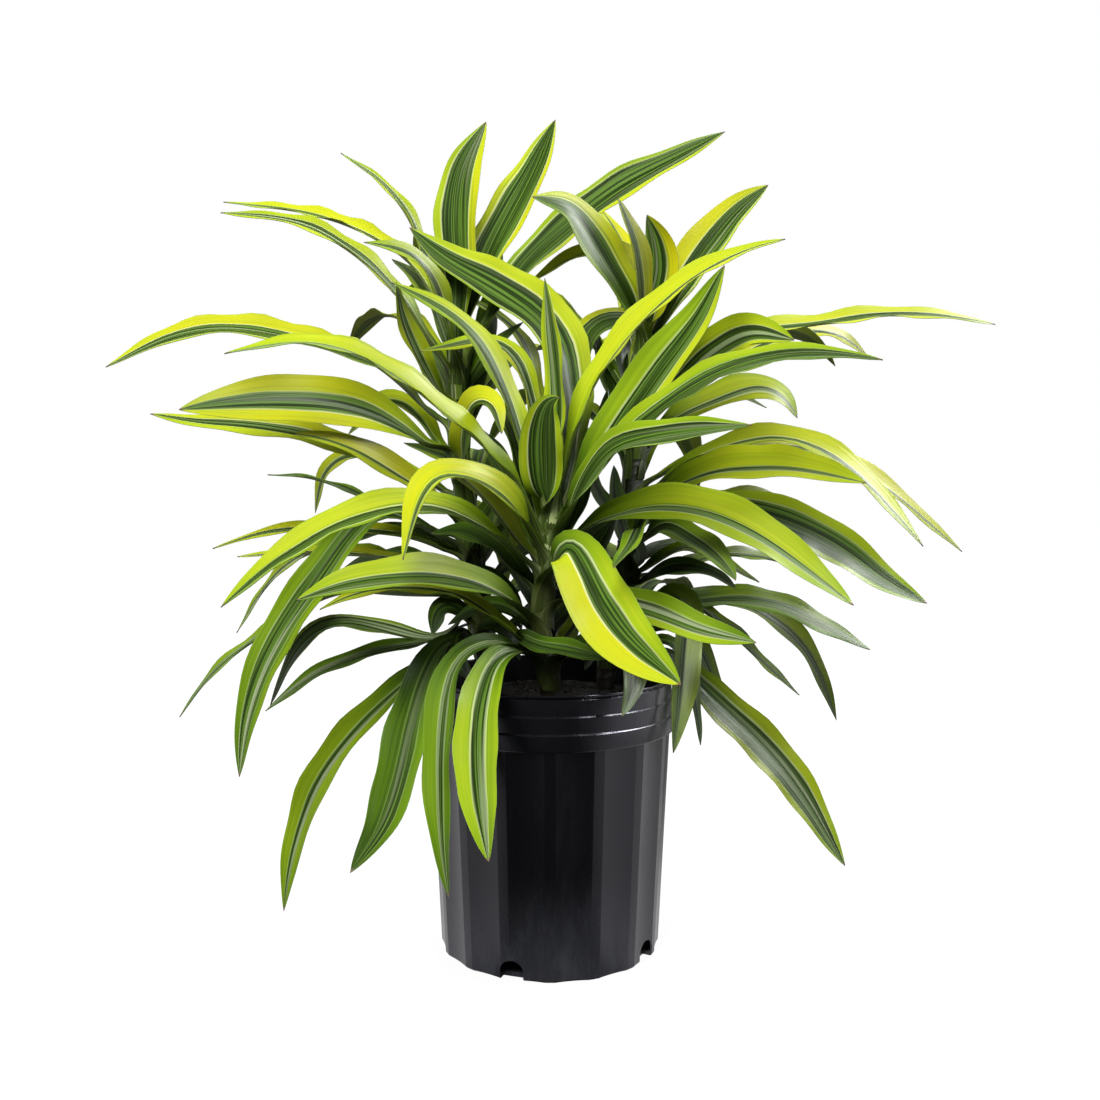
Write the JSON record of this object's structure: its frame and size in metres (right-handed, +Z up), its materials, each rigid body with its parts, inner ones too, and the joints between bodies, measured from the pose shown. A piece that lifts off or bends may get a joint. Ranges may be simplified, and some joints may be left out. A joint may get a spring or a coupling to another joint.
{
  "type": "potted lemon lime dracaena",
  "caption": "Leafy canes with long arching lime-edged striped leaves, standing in soil in a faceted black grower's pot.",
  "frame": {"origin": "centre of the flat underside of the pot, on the surface it stands on", "axes": "+Z up along the pot's axis, -Y towards the front, +X to the right seen from the front"},
  "size_m": [0.8965, 0.6422, 0.8394],
  "materials": {
    "pot_plastic": "satin moulded black plastic",
    "soil_mix": "loose dark potting mix of bark and peat",
    "foliage": "waxy leaf, dark green centre with fine pale lines and wide lime edges"
  },
  "bodies": {
    "root": {"pot": "pot_plastic", "soil": "soil_mix", "leafy_cane_front": "foliage", "leafy_cane_left": "foliage", "leafy_cane_right": "foliage"}
  },
  "joints": []
}
